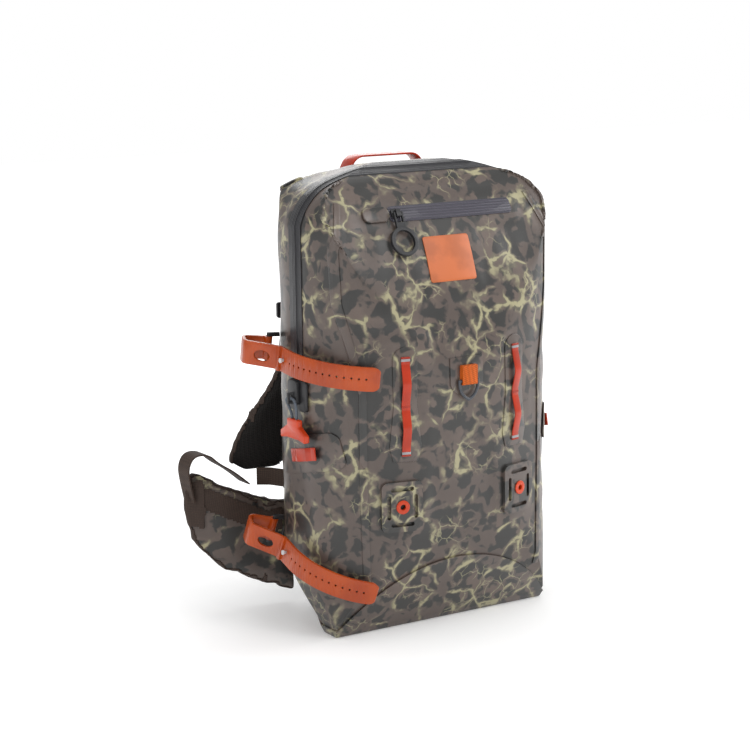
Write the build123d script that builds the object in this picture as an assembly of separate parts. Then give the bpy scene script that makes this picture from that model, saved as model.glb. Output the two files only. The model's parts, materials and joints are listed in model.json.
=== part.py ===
from build123d import *
import os
from math import asin, cos, pi, radians, sin, sqrt

# Waterproof tackle backpack: a coated-fabric body whose front panel falls forward once the
# U-shaped zip is open, rod straps on the left side, and a padded harness behind.
# Millimetres. X is across the back, the front faces -Y, the wearer's side faces +Y, Z is up.
# The origin is the middle of the flat base, on the surface that the bag stands on.

os.makedirs("parts", exist_ok=True)

# --- Body -------------------------------------------------------------------------------------
BODY_W = 300.0          # width at the sides
SIDE_X = BODY_W / 2
BODY_H = 498.0          # height of the crest over the floor
FRONT_Y = -80.0         # foremost line of the belly
BACK_Y = 88.0           # flat back
WALL = 2.4              # foam-lined coated fabric
BOOT_T = 2.0            # base panel under and around the body
BASE_W = BODY_W - 34    # width of the base along its front edge
BASE_FRONT_Y = -34.0
BASE_BACK_Y = 40.0
BASE_BACK_W = BODY_W - 98   # width of the base along its back edge
HEEL_Z = 74.0           # height at which the sloping underside meets the back
HEEL_R = 25.0
BELLY_LOW_Z = 170.0     # upright part of the belly
BELLY_HIGH_Z = BODY_H - 228
BROW_R = 361.0          # front arc over the belly
CROWN_DROP = 28.0       # height of the rounding from the brow to the crest
PLAN_SAG = 38.0         # bulge of the front across the width
FRONT_CORNER_R = 70.0
BACK_CORNER_R = 58.0
TOP_CORNER_R = 62.0
TOP_SAG = 36.0          # fall of the arched top from its middle to the sides
SIDE_RISE_Z = 60.0      # where the sides reach the full width
LAP = 2.0               # the outlines pass each other by this much where they would touch

# --- Main zip and the line where the front panel folds -----------------------------------------
ZIP_Y = 10.0
ZIP_BAND = 24.0
TAPE_T = 1.2
TEETH_W = 5.0
TEETH_T = 2.2
DOCK_Z = BELLY_HIGH_Z - 27
DOCK_H = 33.0
DOCK_W = 36.0
DOCK_T = 2.7
HINGE_Z = BELLY_HIGH_Z - 89
FOLD_STEP_Y = -61.0     # the fold runs below the attachment patches, then steps up
FOLD_STEP_Z = HINGE_Z + 7
FOLD_RISE_Y = -51.0
FOLD_RISE_Z = DOCK_Z - 17
GAP = 0.3               # clearance between pieces that move against each other

# --- Trim on the front -------------------------------------------------------------------------
PATCH_T = 1.2
STRIP_X = 70.0
STRIP_W = 9.5
STRIP_T = 1.6
STRIP_LOW_Z = BELLY_HIGH_Z - 66
STRIP_HIGH_Z = STRIP_LOW_Z + 94
STRIP_BOW = 5.0
LASH_X = 75.0
LASH_Z = HINGE_Z - 37
LASH_W = 46.0
LASH_H = 54.0
LASH_T = 4.0
EYELET_R = 3.0
EYELET_RIM = 3.0
BADGE_Z = BODY_H - 98
BADGE_W = 58.0
BADGE_H = 50.0
RING_X = 4.0
RING_Z = BELLY_HIGH_Z + 2
RING_W = 27.0
RING_DROP = 22.0
RING_WIRE = 1.7
RING_WEB_W = 19.0
POCKET_Z = BODY_H - 50
POCKET_LEFT = -62.0
POCKET_RIGHT = 95.0
POCKET_TAPE_H = 18.0
POCKET_GARAGE = 32.0
POCKET_DEPTH = 14.0     # room between the front panel and the pocket's inner wall
PULL_R = 16.0
PULL_NECK = 20.0
PULL_LEAN = 24.0        # the pull's lean when it lies on the panel, in degrees

# --- Side loops, main slider and its pull ------------------------------------------------------
SIDE_LOOP_Z = DOCK_Z - 46
SIDE_LOOP_TILT = 11.5
SIDE_LOOP_W = 14.0
SIDE_LOOP_L = 50.0
SIDE_LOOP_BOW = 2.4
SLIDER_Z = DOCK_Z + 20
SLIDER_W = 18.0
SLIDER_L = 26.0
SLIDER_T = 4.2
NOSE_T = 3.0            # web of the slider that the cord runs through
CORD_R = 1.5
CORD_OFF = 9.8          # distance from the side to the middle of the cord
CORD_LEG = 4.5
TOGGLE_Z = DOCK_Z - 19
TOGGLE_Y = 2.0
TOGGLE_T = 6.6
TOGGLE_HEAD = 12.0      # height of the pull over its middle

# --- Rod straps --------------------------------------------------------------------------------
STRAP_W = 25.4
STRAP_T = 3.2
STRAP_X = SIDE_X + 15.5 # centre of the strap beside the body, clear of the slider under it
STRAP_HINGE = (-SIDE_X - 8, 60.0)
STRAP_TIP = (46 - SIDE_X, -79.0)
STRAP_LOW_Z = 104.0
STRAP_HIGH_Z = DOCK_Z + 61
STRAP_LOW_DROOP = 20.0
STRAP_HIGH_DROOP = 7.7
STRAP_HOLES = 13
STRAP_PITCH = 7.6
STRAP_HOLE_R = 1.2
STRAP_TIP_R = 9.0
RING_BAR_R = 2.0

# --- Harness -----------------------------------------------------------------------------------
PAD_T = 14.0
HARNESS_T = 12.0
HARNESS_W = 66.0
STRAP_EDGE_X = 90.0     # outer edge of a shoulder strap above its flare
FOOT_X = SIDE_X - 9     # middle of a shoulder strap's foot
FOOT_Z = 146.0
WEB_W = 20.0
WEB_T = 1.8
WING_T = 13.0
WING_HINGE = (SIDE_X - 48, 110.0)
LUMBAR_TOP_Z = 148.0
LUMBAR_LOW_Z = 0.4      # the pad's lower edge steadies the bag when it stands
STERNUM_Z = 326.0
STRAP_BULGE = 58.0       # how far the shoulder straps stand off the back
RAIL_X = 78.0           # middle of the rail that the chest strap slides on

# --- Handle ------------------------------------------------------------------------------------
HANDLE_Y = 74.0
HANDLE_SPAN = 104.0
HANDLE_RISE = 21.0
HANDLE_W = 22.0
HANDLE_FOOT = 14.0


# --- Outlines of the body ----------------------------------------------------------------------
BROW_TOP_Z = BODY_H - CROWN_DROP
BROW_LEAN = asin((BROW_TOP_Z - BELLY_HIGH_Z) / BROW_R)
BROW_TOP_Y = FRONT_Y + BROW_R * (1 - cos(BROW_LEAN))
CREST_Y = BROW_TOP_Y + CROWN_DROP * cos(BROW_LEAN) / (1 - sin(BROW_LEAN))
PLAN_R = ((BODY_W / 2) ** 2 + PLAN_SAG ** 2) / (2 * PLAN_SAG)
PLAN_FRONT_Y = FRONT_Y - LAP
POCKET_SLIDE_X = POCKET_LEFT + 8
EYE_Z = SLIDER_Z - 6
CORD_X = -SIDE_X - CORD_OFF


def side_outline():
    """Section through the middle, drawn as (y, z)."""
    back_top_z = BODY_H - (BACK_Y - CREST_Y)
    edges = Curve() + [
        Line((FRONT_Y, BELLY_LOW_Z), (FRONT_Y, BELLY_HIGH_Z)),
        TangentArc((FRONT_Y, BELLY_HIGH_Z), (BROW_TOP_Y, BROW_TOP_Z), tangent=(0, 1)),
        TangentArc((BROW_TOP_Y, BROW_TOP_Z), (CREST_Y, BODY_H), tangent=(sin(BROW_LEAN), cos(BROW_LEAN))),
        TangentArc((CREST_Y, BODY_H), (BACK_Y, back_top_z), tangent=(1, 0)),
        Line((BACK_Y, back_top_z), (BACK_Y, HEEL_Z)),
        Line((BACK_Y, HEEL_Z), (BASE_BACK_Y, BOOT_T)),
        Line((BASE_BACK_Y, BOOT_T), (BASE_FRONT_Y, BOOT_T)),
        TangentArc((FRONT_Y, BELLY_LOW_Z), (BASE_FRONT_Y, BOOT_T), tangent=(0, -1)),
    ]
    face = make_face(edges)
    heel = [v for v in face.vertices() if abs(v.X - BACK_Y) < 0.1 and abs(v.Y - HEEL_Z) < 0.1]
    return fillet(heel, HEEL_R)


def plan_outline():
    """Section across the belly, drawn as (x, y)."""
    corner_y = PLAN_FRONT_Y + PLAN_SAG
    back_y = BACK_Y + LAP
    edges = Curve() + [
        ThreePointArc((-SIDE_X, corner_y), (0, PLAN_FRONT_Y), (SIDE_X, corner_y)),
        Line((SIDE_X, corner_y), (SIDE_X, back_y)),
        Line((SIDE_X, back_y), (-SIDE_X, back_y)),
        Line((-SIDE_X, back_y), (-SIDE_X, corner_y)),
    ]
    face = make_face(edges)
    front = [v for v in face.vertices() if v.Y < 0]
    face = fillet(front, FRONT_CORNER_R)
    back = [v for v in face.vertices() if v.Y > back_y - 0.1]
    return fillet(back, BACK_CORNER_R)


def front_outline():
    """Outline seen from the front, drawn as (x, z)."""
    half_base = BASE_W / 2
    half = SIDE_X + LAP
    top_z = BODY_H + LAP
    shoulder_z = top_z - TOP_SAG
    face = make_face(Curve() + [
        ThreePointArc((-half, shoulder_z), (0, top_z), (half, shoulder_z)),
        Polyline((half, shoulder_z), (half, SIDE_RISE_Z), (half_base, BOOT_T - LAP),
                 (-half_base, BOOT_T - LAP), (-half, SIDE_RISE_Z), (-half, shoulder_z)),
    ])
    top = [v for v in face.vertices() if v.Y > shoulder_z - 0.1]
    return fillet(top, TOP_CORNER_R)


SIDE_FACE = side_outline()
PLAN_FACE = plan_outline()
FRONT_FACE = front_outline()


def heel_cut(side, growth):
    """Plane that trims the lower back corner on one side, grown with the body."""
    first = Vector(side * BASE_W / 2, BASE_FRONT_Y + 24, BOOT_T)
    second = Vector(side * BASE_BACK_W / 2, BASE_BACK_Y, BOOT_T)
    third = Vector(side * SIDE_X, BACK_Y - 18, HEEL_Z + 14)
    normal = (second - first).cross(third - first).normalized()
    if normal.dot(Vector(side, 1, -1)) < 0:
        normal = normal * -1
    return Plane(origin=first + normal * growth, z_dir=normal)


def body(growth):
    """The body as one solid, with its surface moved outwards by growth."""
    def grown(face):
        return offset(face, amount=growth) if growth else face
    solid = extrude(Plane.YZ * grown(SIDE_FACE), amount=BODY_W, both=True)
    solid = solid & extrude(Plane.XZ * grown(FRONT_FACE), amount=4 * BACK_Y, both=True)
    solid = solid & extrude(Pos(0, 0, -50) * grown(PLAN_FACE), amount=BODY_H + 100)
    for side in (-1, 1):
        solid = split(solid, bisect_by=heel_cut(side, growth), keep=Keep.BOTTOM)
    return solid


BODIES = {}


def grown_body(growth):
    """The body moved outwards by growth, made once for each growth."""
    if growth not in BODIES:
        BODIES[growth] = body(growth)
    return BODIES[growth]


def skin(inner, outer):
    """Layer of the body's surface between two growths."""
    return grown_body(outer) - grown_body(inner)


# --- Places on the surface ---------------------------------------------------------------------
def belly_y(x):
    """Front of the body where it stands upright."""
    return max(FRONT_Y, PLAN_FRONT_Y + PLAN_R - sqrt(PLAN_R ** 2 - x ** 2))


def belly_plane(x, z):
    """Upright plane that touches the belly, its normal pointing out."""
    turn = asin(x / PLAN_R)
    return Plane(origin=(x, belly_y(x), z), x_dir=(cos(turn), sin(turn), 0), z_dir=(sin(turn), -cos(turn), 0))


def brow_plane(x, z):
    """Plane that touches the leaning front over the belly, its normal pointing out."""
    lean = asin((z - BELLY_HIGH_Z) / BROW_R)
    y = FRONT_Y + BROW_R * (1 - cos(lean))
    return Plane(origin=(x, y, z), x_dir=(1, 0, 0), z_dir=(0, -cos(lean), sin(lean)))


def side_plane(side, y, z, tilt=0.0):
    """Plane on the flat side of the body; its x axis runs towards the front."""
    run = Vector(0, -cos(radians(tilt)), sin(radians(tilt)))
    return Plane(origin=(side * SIDE_X, y, z), x_dir=run, z_dir=(side, 0, 0))


def prism(plane, face, depth=45.0):
    """Face drawn on a plane and carried both ways through the surface."""
    return extrude(plane * face, amount=depth, both=True)


def box(low, high):
    """Axis-aligned block between two corners."""
    size = [b - a for a, b in zip(low, high)]
    middle = [(a + b) / 2 for a, b in zip(low, high)]
    return Pos(*middle) * Box(*size)


def band(path, thickness, width):
    """Flat strap: a plane path given a thickness, then a width along Z, centred on Z = 0."""
    return Pos(0, 0, -width / 2) * extrude(trace(path, line_width=thickness), amount=width)


def mirrored(shape, side):
    """The shape as drawn for the right (side 1), or its mirror image for the left."""
    return shape if side > 0 else mirror(shape, about=Plane.YZ)


def fold_region(clearance):
    """Space of the front panel, drawn as (y, z) and carried across the width."""
    edge_y = ZIP_Y - clearance
    points = [(FRONT_Y - 60, HINGE_Z + clearance), (FRONT_Y, HINGE_Z + clearance),
              (FOLD_STEP_Y, FOLD_STEP_Z + clearance), (FOLD_RISE_Y, FOLD_RISE_Z + clearance),
              (edge_y, DOCK_Z + clearance), (edge_y, BODY_H + 60), (FRONT_Y - 60, BODY_H + 60)]
    return extrude(Plane.YZ * make_face(Polyline(*points, close=True)), amount=BODY_W, both=True)


# --- Body and front panel ----------------------------------------------------------------------
def main_shell():
    """Back, sides, crest behind the zip and the lower bucket, in one welded shell."""
    return skin(-WALL, 0) - fold_region(0)


def front_panel():
    """Front of the bag inside the zip, folding at its foot."""
    return skin(-WALL, 0) & fold_region(GAP)


def base_boot():
    """Base panel: the flat base and its tongue up the front."""
    tongue = make_face(Curve() + [
        ThreePointArc((-BASE_W / 2, 12), (0, 76), (BASE_W / 2, 12)),
        Polyline((BASE_W / 2, 12), (BASE_W / 2 + 20, -10), (-BASE_W / 2 - 20, -10), (-BASE_W / 2, 12)),
    ])
    region = prism(Plane.XZ, tongue, depth=2 * BACK_Y)
    return skin(0, BOOT_T) & region & box((-SIDE_X - 9, FRONT_Y - 20, -5), (SIDE_X + 9, BASE_BACK_Y + 12, 90))


def zip_tape(front):
    """Half of the U-shaped zip: its tape and its row of teeth."""
    half = ZIP_BAND / 2
    low_y, high_y = (ZIP_Y - half, ZIP_Y - GAP) if front else (ZIP_Y, ZIP_Y + half)
    teeth = (ZIP_Y - TEETH_W / 2, ZIP_Y - GAP) if front else (ZIP_Y, ZIP_Y + TEETH_W / 2)
    floor = DOCK_Z + DOCK_H + GAP
    reach = SIDE_X + 10
    tape = skin(0, TAPE_T) & box((-reach, low_y, floor), (reach, high_y, BODY_H + 10))
    row = skin(0, TEETH_T) & box((-reach, teeth[0], floor), (reach, teeth[1], BODY_H + 10))
    return tape + row


def zip_dock():
    """Moulded seat at the left foot of the zip, where the slider seals."""
    plate = RectangleRounded(DOCK_W, DOCK_H, 5)
    place = side_plane(-1, ZIP_Y - 3, DOCK_Z + DOCK_H / 2)
    return extrude(place.offset(GAP) * plate, amount=DOCK_T)


def zip_end_stop():
    """Moulded stop at the right foot of the zip."""
    plate = RectangleRounded(22, DOCK_H, 4)
    place = side_plane(1, ZIP_Y, DOCK_Z + DOCK_H / 2)
    return extrude(place.offset(GAP) * plate, amount=DOCK_T)


def side_patch(side):
    """Welded patch under a side loop."""
    outline = RectangleRounded(96, 40, 10)
    place = side_plane(side, 0, SIDE_LOOP_Z, SIDE_LOOP_TILT)
    return skin(0, PATCH_T) & extrude(place.offset(-30) * outline, amount=45)


def side_loop(side):
    """Orange loop that bows off its patch between two tacks."""
    half = SIDE_LOOP_L / 2
    rise = SIDE_LOOP_BOW
    path = FilletPolyline((-half, 0), (-half + 8, 0), (-half + 16, rise), (half - 16, rise), (half - 8, 0),
                          (half, 0), radius=6)
    strap = band(path, STRIP_T, SIDE_LOOP_W)
    place = side_plane(side, -2, SIDE_LOOP_Z, SIDE_LOOP_TILT)
    lifted = place.offset(PATCH_T + STRIP_T / 2)
    flat = Plane(origin=lifted.origin, x_dir=lifted.x_dir, z_dir=lifted.x_dir.cross(lifted.z_dir))
    return flat * strap


def seam_tapes(upper):
    """Tapes welded over the two corner seams of the front."""
    edge_x = SIDE_X - 36
    line = FilletPolyline((edge_x - 3, 14), (edge_x, BELLY_LOW_Z), (edge_x, BELLY_HIGH_Z),
                          (edge_x + 20, BODY_H - 138), (edge_x + 22, BODY_H - 78), (edge_x + 6, BODY_H - 36),
                          radius=40)
    region = prism(Plane.XZ.offset(100), trace(line, line_width=7), depth=85)
    layer = skin(0, PATCH_T) & (region + mirror(region, about=Plane.YZ))
    if upper:
        return layer & fold_region(GAP)
    under_boot = box((-SIDE_X, FRONT_Y - 20, 0), (SIDE_X, BACK_Y, 48))
    return layer - fold_region(-GAP) - under_boot


# --- Front trim --------------------------------------------------------------------------------
def strip_patch(side):
    """Tongue-shaped patch under an attachment strip, domed at its head."""
    middle = (STRIP_LOW_Z + STRIP_HIGH_Z) / 2
    half = (STRIP_HIGH_Z - STRIP_LOW_Z) / 2
    head = Pos(0, half + 2) * Circle(14)
    stem = Polyline((-14, half + 2), (-13, 0), (-18, -half + 4), (-14, -half - 12), (14, -half - 12),
                    (18, -half + 4), (13, 0), (14, half + 2), close=True)
    outline = head + make_face(stem)
    return skin(0, PATCH_T) & prism(belly_plane(side * STRIP_X, middle), outline, depth=30)


def attachment_strip(side):
    """Orange strip tacked at its head, middle and foot, bowed off the patch between them."""
    half = (STRIP_HIGH_Z - STRIP_LOW_Z) / 2
    quarter = half / 2
    path = FilletPolyline((-half - 6, 0), (-half + 2, 0), (-quarter, STRIP_BOW), (-4, 0), (4, 0),
                          (quarter, STRIP_BOW), (half - 2, 0), (half + 6, 0), radius=[6, 20, 6, 6, 20, 6])
    strap = band(path, STRIP_T, STRIP_W)
    face = belly_plane(side * STRIP_X, (STRIP_LOW_Z + STRIP_HIGH_Z) / 2).offset(PATCH_T + STRIP_T / 2 + 0.4)
    upright = Plane(origin=face.origin, x_dir=(0, 0, 1), z_dir=Vector(0, 0, 1).cross(face.z_dir))
    return upright * strap


def badge():
    """Plain orange patch."""
    return skin(0, PATCH_T) & prism(brow_plane(0, BADGE_Z), RectangleRounded(BADGE_W, BADGE_H, 3), depth=20)


def ring_patch():
    """Round-bottomed patch behind the D-ring."""
    outline = Rectangle(42, 26) + Pos(0, -13) * scale(Circle(21), by=(1, 0.7, 1))
    return skin(0, PATCH_T) & prism(belly_plane(RING_X, RING_Z + 12), outline, depth=20)


def ring_pivot():
    """Centre of the D-ring's straight bar."""
    return Vector(RING_X, belly_y(RING_X) - PATCH_T - 3.4, RING_Z)


def ring_webbing():
    """Folded orange webbing that holds the bar of the D-ring."""
    pivot = ring_pivot()
    back = belly_y(0) - PATCH_T - 0.2
    front = pivot.Y - 3.2
    low = (RING_X - RING_WEB_W / 2, front, RING_Z - 4.2)
    high = (RING_X + RING_WEB_W / 2, back, RING_Z + 17)
    block = fillet(box(low, high).edges().filter_by(Axis.X), 1.6)
    bore = Pos(*pivot) * Rot(0, 90, 0) * Cylinder(RING_WIRE + GAP, RING_WEB_W + 2)
    return block - bore


def d_ring():
    """Gunmetal D: a straight bar and a round bow hanging from it."""
    pivot = ring_pivot()
    half = RING_W / 2 - RING_WIRE
    path = Curve() + [
        Line((-half, 0), (half, 0)),
        TangentArc((half, -3), (0, -RING_DROP + RING_WIRE), tangent=(0, -1)),
        TangentArc((-half, -3), (0, -RING_DROP + RING_WIRE), tangent=(0, -1)),
        Line((half, 0), (half, -3)),
        Line((-half, 0), (-half, -3)),
    ]
    wire = Part()
    upright = Plane(origin=pivot, x_dir=(1, 0, 0), z_dir=(0, -1, 0))
    for edge in path.edges():
        placed = upright * edge
        start = Plane(origin=placed @ 0, z_dir=placed % 0)
        wire += sweep(start * Circle(RING_WIRE), path=placed)
    for x, z in ((half, 0), (-half, 0), (half, -3), (-half, -3), (0, -RING_DROP + RING_WIRE)):
        wire += Pos(pivot.X + x, pivot.Y, pivot.Z + z) * Sphere(RING_WIRE)
    return wire


def lash_plate(side):
    """Moulded plate with a slot along each edge and an eyelet in its middle."""
    place = belly_plane(side * LASH_X, LASH_Z)
    outline = RectangleRounded(LASH_W, LASH_H, 7)
    outline -= Circle(EYELET_R + EYELET_RIM)
    for turn, reach in ((0, LASH_W / 2), (180, LASH_W / 2), (90, LASH_H / 2), (270, LASH_H / 2)):
        outline -= Rot(0, 0, turn) * Pos(reach - 8, 0) * SlotOverall(26, 4.5, rotation=90)
    return skin(0, LASH_T) & prism(place, outline, depth=25)


def lash_eyelets():
    """Orange eyelets in the middle of the two lash plates."""
    ring = Circle(EYELET_R + EYELET_RIM) - Circle(EYELET_R)
    rim = Circle(EYELET_R + EYELET_RIM + 1.4) - Circle(EYELET_R)
    both = Part()
    for side in (-1, 1):
        place = belly_plane(side * LASH_X, LASH_Z)
        barrel = extrude(place.offset(0.6) * ring, amount=LASH_T - 0.4)
        collar = extrude(place.offset(LASH_T + 0.2) * rim, amount=1.2)
        both += barrel + collar
    return both


# --- Front pocket ------------------------------------------------------------------------------
def pocket_zip():
    """Tape of the front pocket's zip, rounded at its right end."""
    width = POCKET_RIGHT - POCKET_LEFT
    place = brow_plane((POCKET_LEFT + POCKET_RIGHT) / 2, POCKET_Z)
    return skin(0, TAPE_T) & prism(place, RectangleRounded(width, POCKET_TAPE_H, 5), depth=18)


def pocket_garage():
    """Welded cover at the left end of the pocket's zip, where the slider parks."""
    place = brow_plane(POCKET_LEFT - GAP - POCKET_GARAGE / 2, POCKET_Z)
    outline = RectangleRounded(POCKET_GARAGE, POCKET_TAPE_H - 1, 7)
    return skin(0, 3.2) & prism(place, outline, depth=18)


def pocket_liner():
    """Thin inner wall of the front pocket, hanging behind the front panel."""
    region = box((-112, -90, POCKET_Z - 142), (112, 10, POCKET_Z + 10))
    return skin(-WALL - POCKET_DEPTH - 1.0, -WALL - POCKET_DEPTH) & region & fold_region(4)


def pocket_slider():
    """Slider of the pocket's zip with the bridge that holds the pull."""
    place = brow_plane(POCKET_SLIDE_X, POCKET_Z).offset(TAPE_T + GAP)
    plate = extrude(place * RectangleRounded(12, 9, 2), amount=2.6)
    bridge = place.offset(2.6) * Pos(0, -1.5, 2.2) * Box(5.5, 8, 4.4)
    slot = place.offset(2.6) * Pos(0, -1.5, 2.0) * Box(8, 4.0, 2.6)
    return plate + (bridge - slot)


def pull_pivot():
    """Centre of the pocket pull's pin, inside the slider's bridge."""
    place = brow_plane(POCKET_SLIDE_X, POCKET_Z).offset(TAPE_T + GAP + 2.6)
    return place.from_local_coords((0, -1.5, 2.0))


def pocket_pull():
    """Moulded loop pull hanging from the slider: pin, two cheeks, neck and teardrop loop."""
    pivot = pull_pivot()
    lean = radians(PULL_LEAN)
    hang = Plane(origin=pivot, x_dir=(1, 0, 0), z_dir=(0, -cos(lean), sin(lean)))
    pin = hang * Rot(0, 90, 0) * Cylinder(0.9, 11)
    cheek = Pos(0, -5.2, 0) * Box(1.8, 12.6, 3)
    cheeks = (Pos(4.6, 0, 0) * cheek) + (Pos(-4.6, 0, 0) * cheek)
    neck = Pos(0, -14.5, 0) * Box(11, 8, 3)
    ring = extrude(Circle(PULL_R) - Circle(PULL_R - 4), amount=2, both=True)
    loop = Pos(0, -PULL_NECK - PULL_R + 4.5, 0) * ring
    return pin + hang * (cheeks + neck + loop)


# --- Main slider, its cord and pull ------------------------------------------------------------
def main_slider():
    """Slider that seals the zip, with a nose slotted for the pull cord."""
    place = side_plane(-1, ZIP_Y, SLIDER_Z).offset(GAP + DOCK_T + GAP)
    plate = extrude(place * RectangleRounded(SLIDER_W, SLIDER_L, 4), amount=SLIDER_T)
    face_x = -SIDE_X - GAP - DOCK_T - GAP - SLIDER_T
    nose = box((CORD_X - 3.4, ZIP_Y - NOSE_T / 2, EYE_Z - 6), (face_x, ZIP_Y + NOSE_T / 2, EYE_Z + 6))
    slot = Plane(origin=(CORD_X, ZIP_Y, EYE_Z), x_dir=(0, 0, 1), z_dir=(0, 1, 0))
    opening = SlotOverall(4 * CORD_R + 2 * GAP, 2 * (CORD_R + GAP))
    return plate + nose - extrude(slot * opening, amount=NOSE_T, both=True)


def cord_points():
    """Route of the pull cord: up from the pull, through the nose and down again."""
    foot = TOGGLE_Z + TOGGLE_HEAD + 0.1
    low_y = TOGGLE_Y - CORD_LEG
    high_y = TOGGLE_Y + CORD_LEG
    return [(CORD_X, low_y, foot), (CORD_X, low_y, EYE_Z - 12), (CORD_X, ZIP_Y - 10, EYE_Z - 3),
            (CORD_X, ZIP_Y - 6, EYE_Z), (CORD_X, ZIP_Y + 6, EYE_Z), (CORD_X, ZIP_Y + 9, EYE_Z - 4),
            (CORD_X, high_y + 2, EYE_Z - 14), (CORD_X, high_y, foot)]


def cord_radii(points):
    """Arc for each corner: 0.45 of the shorter run over the tangent of half the turn."""
    radii = []
    for before, corner, after in zip(points, points[1:], points[2:]):
        first = Vector(*corner) - Vector(*before)
        second = Vector(*after) - Vector(*corner)
        turn = radians(first.get_angle(second)) / 2
        radii.append(round(0.45 * min(first.length, second.length) * cos(turn) / sin(turn), 2))
    return radii


def pull_cord():
    """Thin cord looped through the slider's nose."""
    points = cord_points()
    radii = cord_radii(points)
    print("pull cord radii", radii)
    path = FilletPolyline(*points, radius=radii)
    start = Plane(origin=path @ 0, z_dir=path % 0)
    tube = sweep(start * Circle(CORD_R), path=path)
    print("pull cord length", round(path.length, 1))
    print("pull cord volume ratio", round(tube.volume / (pi * CORD_R ** 2 * path.length), 3))
    return tube


def zip_pull():
    """Orange T-shaped pull on the end of the cord."""
    top = TOGGLE_HEAD
    outline = make_face(Polyline((-11, top), (11, top), (11, 5), (25, -3), (25, -11), (12, -9), (-12, -9),
                                 (-25, -11), (-25, -3), (-11, 5), close=True))
    outline = fillet(outline.vertices(), 2)
    place = side_plane(-1, TOGGLE_Y, TOGGLE_Z)
    return extrude(place.offset(CORD_OFF - TOGGLE_T / 2) * outline, amount=TOGGLE_T)


# --- Rod straps --------------------------------------------------------------------------------
def strap_axis(z):
    """Point on the hinge of a rod strap."""
    return Vector(STRAP_HINGE[0], STRAP_HINGE[1], z)


def drooped(shape, z, droop):
    """Tip a strap down towards its tail, about its hinge."""
    run = Vector(STRAP_TIP[0] - STRAP_HINGE[0], STRAP_TIP[1] - STRAP_HINGE[1], 0).normalized()
    across = Vector(-run.Y, run.X, 0)
    return shape.rotate(Axis(strap_axis(z), across), droop)


def strap_tail():
    """Plan of the tail: beside the body, then round its front corner."""
    return TangentArc((-STRAP_X, 0), STRAP_TIP, tangent=(0, -1))


def rod_strap(z, droop):
    """Moulded strap: knuckle, open head loop, keeper, and a tail with a row of holes."""
    hinge_x, hinge_y = STRAP_HINGE
    head = FilletPolyline((hinge_x - 3, hinge_y + 2), (hinge_x - 26, hinge_y + 11),
                          (hinge_x - 33, hinge_y - 9), (-STRAP_X, 22), (-STRAP_X, 0), radius=[7, 8, 20])
    tail = strap_tail()
    strap = band(head, STRAP_T, STRAP_W) + band(tail, STRAP_T, STRAP_W)
    end = tail @ 1
    strap += Pos(end.X, end.Y) * Cylinder(STRAP_T / 2, STRAP_W)
    strap += Pos(hinge_x, hinge_y) * Cylinder(RING_BAR_R + GAP + 2.2, STRAP_W)
    strap -= Pos(hinge_x, hinge_y) * Cylinder(RING_BAR_R + GAP, STRAP_W + 2)
    strap += Pos(-STRAP_X - 1.6, 19) * Box(4.4, 5, STRAP_W + 1)
    window = Plane(origin=(hinge_x - 20, hinge_y - 24, -1),
                   x_dir=(0.675, -0.738, 0), z_dir=(-0.738, -0.675, 0))
    strap -= extrude(window * scale(Circle(6), by=(1.5, 1, 1)), amount=8, both=True)
    strap -= Pos(-STRAP_X, 10, 0) * Rot(0, 90, 0) * Cylinder(1.6, 9)
    for index in range(STRAP_HOLES):
        along = (index + 0.4) * STRAP_PITCH / tail.length
        direction = tail % along
        spot = tail @ along
        hole = Plane(origin=spot, x_dir=(0, 0, 1), z_dir=direction.cross(Vector(0, 0, 1)))
        strap -= extrude(hole * Circle(STRAP_HOLE_R), amount=5, both=True)
    tip_x, tip_y = STRAP_TIP
    square_end = Pos(tip_x, tip_y) * Box(2 * STRAP_TIP_R, 40, STRAP_W)
    round_end = Pos(tip_x - 14, 0) * RectangleRounded(32, STRAP_W, STRAP_TIP_R)
    kept = prism(Plane.XZ.offset(-tip_y), round_end, depth=30)
    strap = (strap - square_end) + (strap & square_end & kept)
    return drooped(Pos(0, 0, z) * strap, z, droop)


def strap_pin(z, droop):
    """Steel pin that the tail buttons onto."""
    pin = Pos(-STRAP_X - 1, 10, 0) * Rot(0, 90, 0) * Cylinder(1.5, 8)
    pin += Pos(-STRAP_X - 5, 10, 0) * Rot(0, 90, 0) * Cylinder(2.6, 1.4)
    return drooped(Pos(0, 0, z) * pin, z, droop)


def strap_ring(z, droop):
    """Black moulded ring whose outer bar the strap's knuckle turns on."""
    x, y = STRAP_HINGE
    tall = STRAP_W / 2 + 4
    bar = Cylinder(RING_BAR_R, 2 * tall)
    ring = (Pos(x, y, 0) * bar) + (Pos(x + 15, y - 2, 0) * bar)
    for end in (-tall + RING_BAR_R, tall - RING_BAR_R):
        arm = Pos(x + 7.5, y - 1, end) * Rot(0, 0, -7.6) * Box(15, 2 * RING_BAR_R, 2 * RING_BAR_R)
        ring += arm
    ring = drooped(Pos(0, 0, z) * ring, z, droop)
    return ring - grown_body(0)


# --- Haul handle -------------------------------------------------------------------------------
def back_round_z(y):
    """Height of the rounding between the crest and the back."""
    radius = BACK_Y - CREST_Y
    return BODY_H - radius + sqrt(radius ** 2 - (y - CREST_Y) ** 2)


def haul_handle():
    """Orange ribbon arched over the back of the crest, its feet welded down."""
    foot = back_round_z(HANDLE_Y) + 1.2
    half = HANDLE_SPAN / 2
    path = FilletPolyline((-half - HANDLE_FOOT, foot), (-half, foot), (-half + 12, foot + HANDLE_RISE),
                          (half - 12, foot + HANDLE_RISE), (half, foot), (half + HANDLE_FOOT, foot),
                          radius=[4, 16, 16, 4])
    ribbon = extrude(Plane.XZ.offset(-HANDLE_Y) * trace(path, line_width=2), amount=HANDLE_W / 2, both=True)
    return ribbon - grown_body(0.2)


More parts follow.
